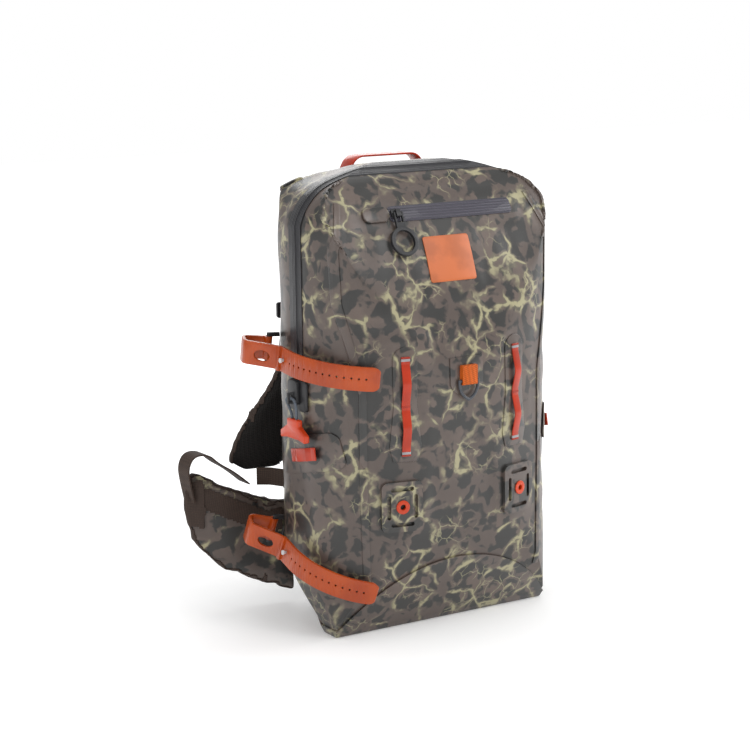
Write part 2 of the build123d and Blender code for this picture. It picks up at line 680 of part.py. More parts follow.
def handle_tacks():
    """Two small patches that hold the feet of the handle."""
    both = Part()
    foot = back_round_z(HANDLE_Y) + 2.3
    half_w = HANDLE_W / 2 + 2
    for side in (-1, 1):
        middle = side * (HANDLE_SPAN / 2 + HANDLE_FOOT - 5)
        both += box((middle - 5, HANDLE_Y - half_w, foot), (middle + 5, HANDLE_Y + half_w, foot + 1.7))
    return both - grown_body(0.2)


# --- Inside ------------------------------------------------------------------------------------
def frame_sheet():
    """Stiffener sheet against the inside of the back."""
    outline = RectangleRounded(190, 330, 25)
    return extrude(Plane.XZ.offset(-(BACK_Y - WALL - 0.4)) * Pos(0, 265) * outline, amount=2.0)


def inner_pocket():
    """Flat mesh pocket hung on the stiffener."""
    outline = RectangleRounded(170, 150, 8)
    return extrude(Plane.XZ.offset(-(BACK_Y - WALL - 2.8)) * Pos(0, 300) * outline, amount=3.0)


def inner_pocket_zip():
    """Zip across the head of the inner pocket."""
    outline = RectangleRounded(150, 14, 4)
    return extrude(Plane.XZ.offset(-(BACK_Y - WALL - 6.1)) * Pos(0, 362) * outline, amount=1.6)


# --- Harness -----------------------------------------------------------------------------------
def back_pads():
    """Two foam columns on the back with an air channel between them."""
    both = Part()
    for side in (-1, 1):
        outline = RectangleRounded(78, 250, 22)
        pad = extrude(Plane.XZ.offset(-BACK_Y - GAP) * Pos(side * 47, 282) * outline, amount=-PAD_T)
        both += fillet(pad.faces().sort_by(Axis.Y)[-1].edges(), 6)
    return both


def lumbar_pad():
    """Foam pad over the small of the back, behind the hip belt."""
    outline = RectangleRounded(186, LUMBAR_TOP_Z - LUMBAR_LOW_Z, 30)
    middle = (LUMBAR_TOP_Z + LUMBAR_LOW_Z) / 2
    pad = extrude(Plane.XZ.offset(-BACK_Y - GAP) * Pos(0, middle) * outline, amount=-PAD_T - 4)
    return fillet(pad.faces().sort_by(Axis.Y)[-1].edges(), 7)


def harness_yoke():
    """Stitched bar across the top of the back that the shoulder straps hang from."""
    outline = RectangleRounded(210, 20, 5)
    return extrude(Plane.XZ.offset(-BACK_Y - GAP) * Pos(0, BODY_H - 74) * outline, amount=-4.0)


def strap_profile():
    """Side view of a shoulder strap, drawn as (y, z), from the yoke down to its tail."""
    top = BODY_H - 40
    return FilletPolyline((BACK_Y + 12.5, top - 40), (BACK_Y + 19, top - 6), (BACK_Y + 43, top),
                          (BACK_Y + STRAP_BULGE, top - 58), (BACK_Y + STRAP_BULGE, 262),
                          (BACK_Y + 50, FOOT_Z), radius=[10, 18, 45, 90])


def shoulder_strap(side):
    """Padded strap: arched in side view and spread outwards towards its tail."""
    profile = extrude(Plane.YZ * trace(strap_profile(), line_width=HARNESS_T), amount=BODY_W, both=True)
    inner_x = STRAP_EDGE_X - HARNESS_W
    outline = make_face(Curve() + [
        Spline((inner_x, BODY_H - 18), (inner_x, BODY_H - 138), (inner_x + 12, 256),
               (FOOT_X - 22, FOOT_Z - 14)),
        Line((FOOT_X - 22, FOOT_Z - 14), (FOOT_X + 24, FOOT_Z + 12)),
        Spline((FOOT_X + 24, FOOT_Z + 12), (FOOT_X - 2, FOOT_Z + 67), (STRAP_EDGE_X + 15, FOOT_Z + 117),
               (STRAP_EDGE_X, 340), (STRAP_EDGE_X, BODY_H - 18)),
        Line((STRAP_EDGE_X, BODY_H - 18), (inner_x, BODY_H - 18)),
    ])
    lobe = prism(Plane.XZ.offset(-150), outline, depth=80)
    return mirrored(profile & lobe, side)


def load_lifter(side):
    """Webbing from the shoulder strap up to the crest of the back."""
    high = BODY_H - 18
    path = FilletPolyline((BACK_Y + 1.6, high - 28), (BACK_Y + 6, high - 8), (BACK_Y + 30, high),
                          (BACK_Y + 56, high - 28), radius=[6, 12])
    web = extrude(Plane.YZ * trace(path, line_width=WEB_T), amount=WEB_W / 2, both=True)
    return mirrored(Pos(62, 0, 0) * web, side)


def sternum_rail(side):
    """Narrow webbing rail on the face of a shoulder strap."""
    y = BACK_Y + STRAP_BULGE + HARNESS_T / 2
    rail = box((RAIL_X - 9, y + 0.2, 296), (RAIL_X + 9, y + 2.2, 392))
    return mirrored(rail, side)


def sternum_clip(side):
    """Clip that grips the rail and slides on it."""
    y = BACK_Y + STRAP_BULGE + HARNESS_T / 2 + 2.2 + GAP
    plate = box((RAIL_X - 13, y, STERNUM_Z - 9), (RAIL_X + 13, y + 3.4, STERNUM_Z + 9))
    return mirrored(fillet(plate.edges().filter_by(Axis.Y), 3), side)


def sternum_webbing():
    """Chest webbing between the two clips, in two runs that stop at the buckle."""
    y = BACK_Y + STRAP_BULGE + HARNESS_T / 2 + 2.2 + GAP
    both = Part()
    for low, high in ((14 - RAIL_X, -27), (25, RAIL_X - 14)):
        both += box((low, y + 0.6, STERNUM_Z - WEB_W / 2), (high, y + 0.6 + WEB_T, STERNUM_Z + WEB_W / 2))
    return both


def buckle_socket():
    """Female half of the chest buckle."""
    y = BACK_Y + STRAP_BULGE + HARNESS_T / 2 + 2.2 + GAP
    shell = box((-24, y - 1.2, STERNUM_Z - 12), (5, y + 6.4, STERNUM_Z + 12))
    shell = fillet(shell.edges().filter_by(Axis.X), 2.5)
    mouth = box((-16, y + 0.8, STERNUM_Z - 9), (6, y + 4.4, STERNUM_Z + 9))
    return shell - mouth


def buckle_plug():
    """Male half of the chest buckle, its prongs inside the socket."""
    y = BACK_Y + STRAP_BULGE + HARNESS_T / 2 + 2.2 + GAP
    bar = box((5.4, y - 1.0, STERNUM_Z - 12), (22, y + 6.2, STERNUM_Z + 12))
    bar = fillet(bar.edges().filter_by(Axis.X), 2.5)
    prongs = Part()
    for z in (-6, 0, 6):
        prongs += box((-13, y + 1.2, STERNUM_Z + z - 1.7), (6, y + 4.0, STERNUM_Z + z + 1.7))
    return bar + prongs


def ladder_lock(side):
    """Ladder lock at the foot of a shoulder strap."""
    place = Plane(origin=(FOOT_X - 8, BACK_Y + 54, FOOT_Z + 26), x_dir=(1, 0, 0), z_dir=(0, 1, 0))
    frame = Rectangle(34, 22) - Pos(0, 5) * Rectangle(26, 4) - Pos(0, -5) * Rectangle(26, 4)
    lock = extrude(place.offset(HARNESS_T / 2 + 1.8) * frame, amount=4)
    return mirrored(lock, side)


def lower_webbing(side):
    """Webbing from behind the strap's foot back to its anchor on the corner of the back."""
    path = FilletPolyline((FOOT_X - 4, BACK_Y + 41), (FOOT_X - 16, BACK_Y + 32), (FOOT_X - 26, BACK_Y + 12),
                          (FOOT_X - 41, BACK_Y + 6), radius=[10, 10])
    web = band(path, WEB_T, WEB_W)
    return mirrored(Pos(0, 0, FOOT_Z) * web, side)


def webbing_anchor(side):
    """Stitched triangle that holds the lower webbing on the back."""
    x = FOOT_X - 45
    outline = make_face(Polyline((x, 128), (x + 28, 138), (x + 28, 158), (x, 166), close=True))
    tab = extrude(Plane.XZ.offset(-BACK_Y + 30) * outline, amount=-34.5)
    return mirrored(tab - grown_body(0), side)


def wing_plan():
    """Plan of a hip-belt wing, drawn as (x, y) for the right side."""
    x, y = WING_HINGE
    return FilletPolyline((x, y), (x + 34, y + 8), (x + 80, y + 16), (x + 124, y + 32), radius=[60, 90])


def hip_wing(side):
    """Padded wing of the hip belt, deepest beside the lumbar pad's edge."""
    panel = Pos(0, 0, 90) * band(wing_plan(), WING_T, 180)
    x = WING_HINGE[0]
    outline = make_face(Polyline((x - 8, 12), (x + 11, 14), (x + 40, 23), (x + 84, 45), (x + 113, 76),
                                 (x + 125, 120), (x + 120, 160), (x + 98, 155), (x + 58, 140), (x + 11, 121),
                                 (x - 8, 117), close=True))
    outline = fillet(outline.vertices().sort_by(Axis.X)[-7:], 9)
    return mirrored(panel & prism(Plane.XZ.offset(-130), outline, depth=60), side)


def wing_web(side):
    """Belt webbing that leaves the wing's end, curls up and comes back over it."""
    x, y = WING_HINGE
    path = FilletPolyline((x + 77, 161), (x + 90, 174), (x + 106, 179), (x + 118, 173), (x + 116, 161.6),
                          radius=[20, 16, 8])
    web = extrude(Plane.XZ.offset(-(y + 24)) * trace(path, line_width=WEB_T), amount=WEB_W / 2, both=True)
    return mirrored(web, side)


def belt_buckle(side):
    """Half of the hip-belt buckle at the end of its webbing."""
    x, y = WING_HINGE
    shell = box((x + 84, y + 36, 108), (x + 112, y + 46, 140))
    return mirrored(fillet(shell.edges().filter_by(Axis.Y), 4), side)


# --- Write every piece -------------------------------------------------------------------------
def pieces():
    """Every node by name."""
    made = {
        "main_shell": main_shell(),
        "front_panel": front_panel(),
        "base_boot": base_boot(),
        "rear_zip_tape": zip_tape(front=False),
        "front_zip_tape": zip_tape(front=True),
        "zip_dock": zip_dock(),
        "zip_end_stop": zip_end_stop(),
        "lower_seam_tapes": seam_tapes(upper=False),
        "upper_seam_tapes": seam_tapes(upper=True),
        "badge_patch": badge(),
        "d_ring_patch": ring_patch(),
        "d_ring_webbing": ring_webbing(),
        "d_ring": d_ring(),
        "lash_eyelets": lash_eyelets(),
        "pocket_zip": pocket_zip(),
        "pocket_garage": pocket_garage(),
        "pocket_liner": pocket_liner(),
        "pocket_slider": pocket_slider(),
        "pocket_pull": pocket_pull(),
        "main_slider": main_slider(),
        "pull_cord": pull_cord(),
        "zip_pull": zip_pull(),
        "haul_handle": haul_handle(),
        "handle_tacks": handle_tacks(),
        "frame_sheet": frame_sheet(),
        "inner_pocket": inner_pocket(),
        "inner_pocket_zip": inner_pocket_zip(),
        "back_pads": back_pads(),
        "lumbar_pad": lumbar_pad(),
        "harness_yoke": harness_yoke(),
        "sternum_webbing": sternum_webbing(),
        "chest_buckle_socket": buckle_socket(),
        "chest_buckle_plug": buckle_plug(),
    }
    for name, side in (("left", -1), ("right", 1)):
        made["side_loop_" + name] = side_loop(side)
        made["lash_plate_" + name] = lash_plate(side)
        made["shoulder_strap_" + name] = shoulder_strap(side)
        made["hip_wing_" + name] = hip_wing(side)
        made["belt_webbing_" + name] = wing_web(side)
    pairs = {"side_patches": side_patch, "strip_patches": strip_patch,
             "attachment_strips": attachment_strip, "load_lifters": load_lifter,
             "sternum_rails": sternum_rail, "sternum_clips": sternum_clip, "ladder_locks": ladder_lock,
             "lower_webbings": lower_webbing, "webbing_anchors": webbing_anchor}
    for name, make in pairs.items():
        made[name] = make(-1) + make(1)
    made["belt_buckle_plug"] = belt_buckle(-1)
    made["belt_buckle_socket"] = belt_buckle(1)
    rod_straps = (("upper", STRAP_HIGH_Z, STRAP_HIGH_DROOP), ("lower", STRAP_LOW_Z, STRAP_LOW_DROOP))
    for name, z, droop in rod_straps:
        made["rod_strap_" + name] = rod_strap(z, droop)
        made["strap_pin_" + name] = strap_pin(z, droop)
        made["strap_ring_" + name] = strap_ring(z, droop)
    return made


for node, shape in pieces().items():
    export_step(shape, "parts/" + node + ".step")
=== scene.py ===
import json
import math

import bpy
import numpy as np
from mathutils import Matrix, Vector
from mathutils.noise import noise

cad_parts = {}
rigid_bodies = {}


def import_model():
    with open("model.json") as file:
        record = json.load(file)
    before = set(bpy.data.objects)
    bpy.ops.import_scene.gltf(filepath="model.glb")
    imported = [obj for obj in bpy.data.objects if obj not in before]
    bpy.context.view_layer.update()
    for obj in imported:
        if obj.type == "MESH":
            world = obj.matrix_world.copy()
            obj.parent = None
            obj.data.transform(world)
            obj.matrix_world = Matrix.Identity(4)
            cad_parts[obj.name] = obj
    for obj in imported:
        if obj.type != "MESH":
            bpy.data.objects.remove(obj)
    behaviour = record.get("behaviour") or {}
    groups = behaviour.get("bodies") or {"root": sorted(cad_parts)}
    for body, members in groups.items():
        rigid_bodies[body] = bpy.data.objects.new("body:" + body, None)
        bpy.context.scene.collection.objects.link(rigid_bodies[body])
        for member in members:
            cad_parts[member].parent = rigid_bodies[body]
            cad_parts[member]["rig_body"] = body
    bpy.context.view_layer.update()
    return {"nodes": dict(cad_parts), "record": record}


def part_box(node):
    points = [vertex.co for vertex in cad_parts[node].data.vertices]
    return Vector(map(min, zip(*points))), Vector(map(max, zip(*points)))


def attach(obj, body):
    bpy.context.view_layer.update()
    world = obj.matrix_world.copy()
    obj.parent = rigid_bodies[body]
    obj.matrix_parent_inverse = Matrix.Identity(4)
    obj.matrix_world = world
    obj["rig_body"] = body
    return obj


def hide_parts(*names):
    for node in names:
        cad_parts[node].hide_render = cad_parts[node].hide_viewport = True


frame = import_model()
nodes = frame["nodes"]


# Camera, lamps and floor. The bag stands a little turned to the left, with its front and the side
# that carries the rod straps in view, under broad soft lamps. The floor glows more with distance,
# so that it meets the white background.
def aim(thing, target, roll=0.0):
    direction = Vector(target) - thing.location
    thing.rotation_euler = (direction.to_track_quat("-Z", "Y").to_matrix()
                            @ Matrix.Rotation(roll, 3, "Z")).to_euler()


camera_data = bpy.data.cameras.new("camera")
camera_data.lens = 97.5
camera_data.sensor_width = 36.0
camera = bpy.data.objects.new("camera", camera_data)
bpy.context.collection.objects.link(camera)
camera.location = (-1.2086, -1.8148, 0.6781)
aim(camera, (-0.0599, 0.0, 0.2721), math.radians(-0.76))
bpy.context.scene.camera = camera


def soft_lamp(name, place, target, size, power):
    lamp = bpy.data.lights.new(name, "AREA")
    lamp.size = size
    lamp.energy = power
    lamp_object = bpy.data.objects.new(name, lamp)
    bpy.context.collection.objects.link(lamp_object)
    lamp_object.location = place
    aim(lamp_object, target)
    return lamp_object


soft_lamp("key lamp", (0.45, -1.55, 1.65), (0, 0, 0.3), 0.7, 10)
soft_lamp("left lamp", (-1.9, -0.6, 1.15), (0, 0, 0.25), 1.0, 7)
soft_lamp("right lamp", (1.7, -0.5, 1.0), (0, 0, 0.3), 0.8, 12)
soft_lamp("top lamp", (0.1, 0.35, 1.9), (0, 0, 0.3), 1.3, 9)
soft_lamp("back lamp", (0.7, 1.7, 1.1), (0, 0, 0.3), 1.0, 7)

world = bpy.data.worlds.new("studio")
world.use_nodes = True
sweep = world.node_tree.nodes["Background"]
sweep.inputs["Color"].default_value = (1, 1, 1, 1)
sweep.inputs["Strength"].default_value = 0.58
world_tree = world.node_tree
white = world_tree.nodes.new("ShaderNodeBackground")
white.inputs["Strength"].default_value = 1.0
white.inputs["Color"].default_value = (1, 1, 1, 1)
seen = world_tree.nodes.new("ShaderNodeLightPath")
either = world_tree.nodes.new("ShaderNodeMixShader")
world_tree.links.new(seen.outputs["Is Camera Ray"], either.inputs[0])
world_tree.links.new(sweep.outputs[0], either.inputs[1])
world_tree.links.new(white.outputs[0], either.inputs[2])
world_tree.links.new(either.outputs[0], world_tree.nodes["World Output"].inputs["Surface"])
bpy.context.scene.world = world
bpy.context.scene.view_settings.view_transform = "Standard"

bpy.ops.object.select_all(action="DESELECT")
bpy.ops.mesh.primitive_plane_add(size=12, location=(0, 0, -0.0006))
floor = bpy.context.object
floor.name = "floor"
floor_material = bpy.data.materials.new("white floor")
floor_material.use_nodes = True
floor_shader = floor_material.node_tree.nodes["Principled BSDF"]
floor_shader.inputs["Base Color"].default_value = (0.93, 0.93, 0.93, 1)
floor_shader.inputs["Roughness"].default_value = 0.9
floor_shader.inputs["Emission Strength"].default_value = 1.0
far = floor_material.node_tree.nodes.new("ShaderNodeTexGradient")
far.gradient_type = "SPHERICAL"
spread = floor_material.node_tree.nodes.new("ShaderNodeMapping")
spread.inputs["Scale"].default_value = (0.55, 0.55, 0.55)
spot = floor_material.node_tree.nodes.new("ShaderNodeTexCoord")
glow = floor_material.node_tree.nodes.new("ShaderNodeValToRGB")
glow.color_ramp.elements[0].color = (0.7, 0.7, 0.7, 1)
glow.color_ramp.elements[1].color = (0.12, 0.12, 0.12, 1)
for source, target in ((spot.outputs["Object"], spread.inputs[0]), (spread.outputs[0], far.inputs[0]),
                       (far.outputs["Fac"], glow.inputs[0]),
                       (glow.outputs[0], floor_shader.inputs["Emission Color"])):
    floor_material.node_tree.links.new(source, target)
floor_shader.inputs["Specular IOR Level"].default_value = 0.1
floor.data.materials.append(floor_material)


# Pull cord: a braided loop from the toggle through the slider's nose and back. Its thickness is
# the points' radius, with a bevel of 1, because a curve's box grows by that radius.
CORD_ROUTE = ((-0.1598, -0.0025, 0.2361), (-0.1598, -0.0025, 0.2450), (-0.1598, 0.0000, 0.2540),
              (-0.1598, 0.0040, 0.2570), (-0.1598, 0.0160, 0.2570), (-0.1598, 0.0190, 0.2530),
              (-0.1598, 0.0085, 0.2430), (-0.1598, 0.0065, 0.2361))
route = bpy.data.curves.new("pull_cord_braid", "CURVE")
route.dimensions = "3D"
spline = route.splines.new("NURBS")
spline.points.add(len(CORD_ROUTE) - 1)
for point, place in zip(spline.points, CORD_ROUTE):
    point.co = (*place, 1)
    point.radius = 0.0015
spline.order_u = 3
spline.use_endpoint_u = True
spline.resolution_u = 8
route.bevel_depth = 1.0
route.bevel_resolution = 5
pull_cord = bpy.data.objects.new("pull_cord_braid", route)
bpy.context.collection.objects.link(pull_cord)
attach(pull_cord, "main_zip_pull")
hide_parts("pull_cord")


# Coated camouflage cloth: polyurethane film over nylon, printed with grey-brown ground, charcoal
# blotches and pale branching veins. The film is half glossy, with a fine pebble and slow dents.
class Socket:
    """One output of a node, so that shader sums can be written as plain expressions."""

    def __init__(self, sheet, output):
        self.sheet = sheet
        self.output = output

    def maths(self, operation, *values):
        return self.sheet.node("ShaderNodeMath", {"operation": operation}, dict(enumerate(values)))

    def __add__(self, other):
        return self.maths("ADD", self, other)

    def __radd__(self, other):
        return self.maths("ADD", other, self)

    def __sub__(self, other):
        return self.maths("SUBTRACT", self, other)

    def __rsub__(self, other):
        return self.maths("SUBTRACT", other, self)

    def __mul__(self, other):
        return self.maths("MULTIPLY", self, other)

    def __rmul__(self, other):
        return self.maths("MULTIPLY", other, self)

    def most(self, other):
        return self.maths("MAXIMUM", self, other)

    def sine(self):
        return self.maths("SINE", self)

    def step(self, low, high):
        """Smooth ramp from 0 at low to 1 at high."""
        return self.sheet.node("ShaderNodeMapRange", {"interpolation_type": "SMOOTHSTEP"},
                               {"Value": self, "From Min": low, "From Max": high})

    def axis(self, index):
        return self.sheet.node("ShaderNodeSeparateXYZ", {}, {0: self}, index)


class Sheet:
    """A material whose nodes are made through one method."""

    def __init__(self, name):
        self.material = bpy.data.materials.new(name)
        self.material.use_nodes = True
        self.tree = self.material.node_tree
        self.shader = self.tree.nodes["Principled BSDF"]

    def connect(self, socket, value):
        if isinstance(value, Socket):
            self.tree.links.new(value.output, socket)
        else:
            socket.default_value = value

    def node(self, kind, settings, inputs, output=0):
        made = self.tree.nodes.new(kind)
        for key, value in settings.items():
            if key == "stops":
                ramp = made.color_ramp
                while len(ramp.elements) < len(value):
                    ramp.elements.new(0.5)
                for element, (place, colour) in zip(ramp.elements, value):
                    element.position = place
                    element.color = (*colour, 1)
            else:
                setattr(made, key, value)
        for key, value in inputs.items():
            self.connect(made.inputs[key], value)
        return Socket(self, made.outputs[output])

    def place(self):
        return self.node("ShaderNodeTexCoord", {}, {}, "Object")

    def noise(self, where, scale, detail=2.0, rough=0.5, output=0):
        return self.node("ShaderNodeTexNoise", {}, {"Vector": where, "Scale": scale, "Detail": detail,
                                                    "Roughness": rough}, output)

    def cells(self, where, scale, feature="DISTANCE_TO_EDGE", random_share=1.0):
        return self.node("ShaderNodeTexVoronoi", {"feature": feature},
                         {"Vector": where, "Scale": scale, "Randomness": random_share})

    def mix(self, share, first, second):
        colours = [c if isinstance(c, Socket) else (*c, 1) for c in (first, second)]
        return self.node("ShaderNodeMix", {"data_type": "RGBA"}, {0: share, 6: colours[0], 7: colours[1]}, 2)

    def shift(self, where, amount, scale, detail=2.0):
        """Moves a pattern about by a noise, so its lines wander."""
        wander = self.noise(where, scale, detail, 0.5, "Color")
        centred = self.node("ShaderNodeVectorMath", {"operation": "SUBTRACT"},
                            {0: wander, 1: (0.5, 0.5, 0.5)})
        scaled = self.node("ShaderNodeVectorMath", {"operation": "SCALE"}, {0: centred, "Scale": amount})
        return self.node("ShaderNodeVectorMath", {"operation": "ADD"}, {0: where, 1: scaled})

    def bump(self, height, distance, strength=1.0, under=None):
        inputs = {"Height": height, "Distance": distance, "Strength": strength}
        if under is not None:
            inputs["Normal"] = under
        return self.node("ShaderNodeBump", {}, inputs)

    def finish(self, **values):
        names = {"colour": "Base Color", "rough": "Roughness", "normal": "Normal", "coat": "Coat Weight",
                 "coat_rough": "Coat Roughness", "specular": "Specular IOR Level",
                 "through": "Subsurface Weight", "through_size": "Subsurface Scale"}
        for key, value in values.items():
            if key == "colour" and not isinstance(value, Socket):
                value = (*value, 1)
            self.connect(self.shader.inputs[names[key]], value)
        return self.material


GROUND = (0.088, 0.066, 0.056)
GROUND_WARM = (0.118, 0.087, 0.072)
CHARCOAL = (0.020, 0.021, 0.020)
OLIVE = (0.135, 0.125, 0.080)
VEIN = (0.37, 0.34, 0.20)


def camouflage(sheet, where):
    """Printed colours of the camouflage: soft blotches, and veins that swell where they meet."""
    wander = sheet.shift(sheet.shift(where, 0.030, 26.0, 2.0), 0.006, 130.0, 2.0)
    edge = sheet.cells(wander, 30.0)
    small = sheet.cells(sheet.shift(where, 0.016, 60.0, 3.0), 62.0)
    ground = sheet.mix(sheet.noise(where, 24.0, 4.0).step(0.40, 0.62), GROUND, GROUND_WARM)
    torn = sheet.shift(where, 0.010, 90.0, 2.0)
    blots = edge.step(0.05, 0.12) * sheet.noise(torn, 50.0, 1.0).step(0.45, 0.52)
    flecks = small.step(0.12, 0.24) * sheet.noise(where, 34.0, 2.0).step(0.52, 0.58)
    colour = sheet.mix(blots.most(flecks) * 0.93, ground, CHARCOAL)
    shown = sheet.noise(where, 24.0, 3.0).step(0.47, 0.60)
    swell = sheet.noise(where, 48.0, 2.0).step(0.45, 0.70)
    haze = (1 - (edge - swell * 0.08).step(0.0, 0.09)) * shown
    colour = sheet.mix(haze * 0.65, colour, OLIVE)
    ragged = sheet.noise(where, 150.0, 3.0).step(0.25, 0.50)
    broad = (1 - (edge - swell * 0.045).step(0.0, 0.045)) * shown
    thin = (1 - small.step(0.0, 0.060)) * sheet.noise(where, 18.0, 2.0).step(0.55, 0.64) * 0.7
    return sheet.mix(broad.most(thin) * ragged * 0.92, colour, VEIN)


def coated_cloth(name, rough=0.40, coat=0.18):
    sheet = Sheet(name)
    where = sheet.place()
    colour = camouflage(sheet, where)
    pebble = sheet.noise(where, 900.0, 2.0)
    dents = sheet.noise(where, 19.0, 2.0)
    normal = sheet.bump(pebble, 0.00018, 0.5, sheet.bump(dents, 0.006, 0.35))
    wear = sheet.noise(where, 60.0, 4.0)
    return sheet.finish(colour=colour, rough=wear * 0.12 + (rough - 0.06), normal=normal, coat=coat,
                        coat_rough=0.32, specular=0.5)


camo_cloth = coated_cloth("camouflage coated cloth")


# Bag body and front panel: one welded skin of foam-lined coated cloth, drawn over the stiffened
# back. It is shaped as a whole, dented a little between its welds, then cut along the zip.
def alone(piece):
    bpy.ops.object.select_all(action="DESELECT")
    piece.select_set(True)
    bpy.context.view_layer.objects.active = piece


def copy_of(names, name):
    """One new mesh made of copies of CAD nodes, its loose triangles merged."""
    copies = []
    for node_name in names:
        piece = bpy.data.objects.new(name, nodes[node_name].data.copy())
        piece.data.materials.clear()
        bpy.context.collection.objects.link(piece)
        copies.append(piece)
    bpy.ops.object.select_all(action="DESELECT")
    for piece in copies:
        piece.select_set(True)
    bpy.context.view_layer.objects.active = copies[0]
    if len(copies) > 1:
        bpy.ops.object.join()
    piece = bpy.context.view_layer.objects.active
    piece.name = name
    bpy.ops.object.mode_set(mode="EDIT")
    bpy.ops.mesh.select_all(action="SELECT")
    bpy.ops.mesh.remove_doubles(threshold=0.00001)
    bpy.ops.object.mode_set(mode="OBJECT")
    return piece


def modify(piece, kind, **settings):
    """Adds one modifier and applies it."""
    alone(piece)
    modifier = piece.modifiers.new(kind.lower(), kind)
    for key, value in settings.items():
        setattr(modifier, key, value)
    bpy.ops.object.modifier_apply(modifier=modifier.name)


def smooth(piece, angle=35):
    alone(piece)
    bpy.ops.object.shade_smooth_by_angle(angle=math.radians(angle))


def points_of(piece):
    co = np.empty(len(piece.data.vertices) * 3)
    piece.data.vertices.foreach_get("co", co)
    return co.reshape(-1, 3)


def normals_of(piece):
    co = np.empty(len(piece.data.vertices) * 3)
    piece.data.vertices.foreach_get("normal", co)
    return co.reshape(-1, 3)


def set_points(piece, co):
    piece.data.vertices.foreach_set("co", co.ravel())
    piece.data.update()


def ease(value, low, high):
    t = np.clip((value - low) / (high - low), 0, 1)
    return t * t * (3 - 2 * t)


def box_distance(co, low, high):
    gap = np.maximum(np.maximum(np.array(low) - co, co - np.array(high)), 0)
    return np.linalg.norm(gap, axis=1)


FLAT_TRIM = ("badge_patch", "d_ring_patch", "lash_plate_left", "lash_plate_right", "pocket_zip",
             "pocket_garage", "zip_dock", "zip_end_stop", "side_loop_left", "side_loop_right")
STRIP_AREAS = (((-0.095, -0.09, 0.185), (-0.045, -0.06, 0.32)), ((0.045, -0.09, 0.185), (0.095, -0.06, 0.32)))
DENT = 0.0030
WALL = 0.0022
CORNER = 0.070
SKIN_MIDDLE = (0, 0.0035, 0.2505)
SKIN_SIZE = (0.31, 0.181, 0.507)
SKIN_HALF = 0.155
SKIN_TOP = 0.504
SKIN_CUTS = 94
SEAM_LINE = ((0.014, 0.111), (0.170, 0.114), (0.270, 0.114), (0.360, 0.134), (0.420, 0.136), (0.462, 0.120))
FOLD_LINE = ((-0.140, 0.181), (-0.080, 0.181), (-0.061, 0.188), (-0.051, 0.226), (0.010, 0.243),
             (0.010, 0.560))

body_form = copy_of(("main_shell", "front_panel"), "body form")
bpy.ops.object.select_all(action="DESELECT")
bpy.ops.mesh.primitive_cube_add(size=1, location=SKIN_MIDDLE, scale=SKIN_SIZE)
bag_skin = bpy.context.object
bag_skin.name = "bag_skin"
bpy.ops.object.transform_apply()
bpy.ops.object.mode_set(mode="EDIT")
bpy.ops.mesh.select_all(action="SELECT")
bpy.ops.mesh.subdivide(number_cuts=SKIN_CUTS)
bpy.ops.object.mode_set(mode="OBJECT")
start = points_of(bag_skin)
reach = np.column_stack((np.abs(start[:, 0]) - (SKIN_HALF - CORNER), start[:, 2] - (SKIN_TOP - CORNER)))
rounding = np.where(reach.min(axis=1) > 0, reach.max(axis=1) / np.linalg.norm(reach, axis=1), 1)
start[:, 0] += np.sign(start[:, 0]) * reach[:, 0] * (rounding - 1)
start[:, 2] += reach[:, 1] * (rounding - 1)
set_points(bag_skin, start)
modify(bag_skin, "SHRINKWRAP", target=body_form, wrap_method="NEAREST_SURFACEPOINT")
bpy.data.objects.remove(body_form)
modify(bag_skin, "SMOOTH", factor=0.5, iterations=2)


def weigh(piece, name, weights):
    """Stores a weight for each point, for a modifier to read."""
    group = piece.vertex_groups.new(name=name)
    for index, weight in enumerate(weights):
        if weight > 0.01:
            group.add([index], float(weight), "REPLACE")
    return name


skin_points = points_of(bag_skin)
calm = ease(box_distance(skin_points, (-0.2, -0.006, 0.24), (0.2, 0.026, 0.6)), 0.0, 0.02)
for trim in FLAT_TRIM:
    calm = calm * ease(box_distance(skin_points, *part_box(trim)), 0.002, 0.018)
for low, high in STRIP_AREAS:
    calm = calm * ease(box_distance(skin_points, low, high), 0.0, 0.015)
seam_x = np.interp(skin_points[:, 2], [z for z, x in SEAM_LINE], [x for z, x in SEAM_LINE])
off_seam = np.abs(np.abs(skin_points[:, 0]) - seam_x)
calm = calm * np.where(skin_points[:, 1] < 0, ease(off_seam, 0.004, 0.018), 1)
modify(bag_skin, "SMOOTH", factor=0.5, iterations=60, vertex_group=weigh(bag_skin, "calm", calm))
skin_points = points_of(bag_skin)
calm = calm * ease(skin_points[:, 2], 0.085, 0.12)
slack = np.array([noise(Vector(p) * 17.0) + 0.6 * noise(Vector(p) * 34.0 + Vector((5, 5, 5)))
                  for p in skin_points])
depth = DENT * calm * (0.35 + 0.65 * slack)
set_points(bag_skin, skin_points - normals_of(bag_skin) * np.clip(depth, 0, 2 * DENT)[:, None])


def inside_fold(y, z):
    """True where a point lies in front of the zip and above the fold."""
    fold_z = np.interp(y, [a for a, b in FOLD_LINE[:5]], [b for a, b in FOLD_LINE[:5]])
    return (y < FOLD_LINE[-1][0]) & (z > fold_z)


def face_centres(piece):
    co = np.empty(len(piece.data.polygons) * 3)
    piece.data.polygons.foreach_get("center", co)
    return co.reshape(-1, 3)


def select_faces(piece, chosen):
    """Selects the faces of a piece where chosen is true, and leaves it in edit mode."""
    alone(piece)
    bpy.ops.object.mode_set(mode="EDIT")
    bpy.ops.mesh.select_mode(type="FACE")
    bpy.ops.mesh.select_all(action="DESELECT")
    bpy.ops.object.mode_set(mode="OBJECT")
    piece.data.polygons.foreach_set("select", np.asarray(chosen, bool))
    bpy.ops.object.mode_set(mode="EDIT")


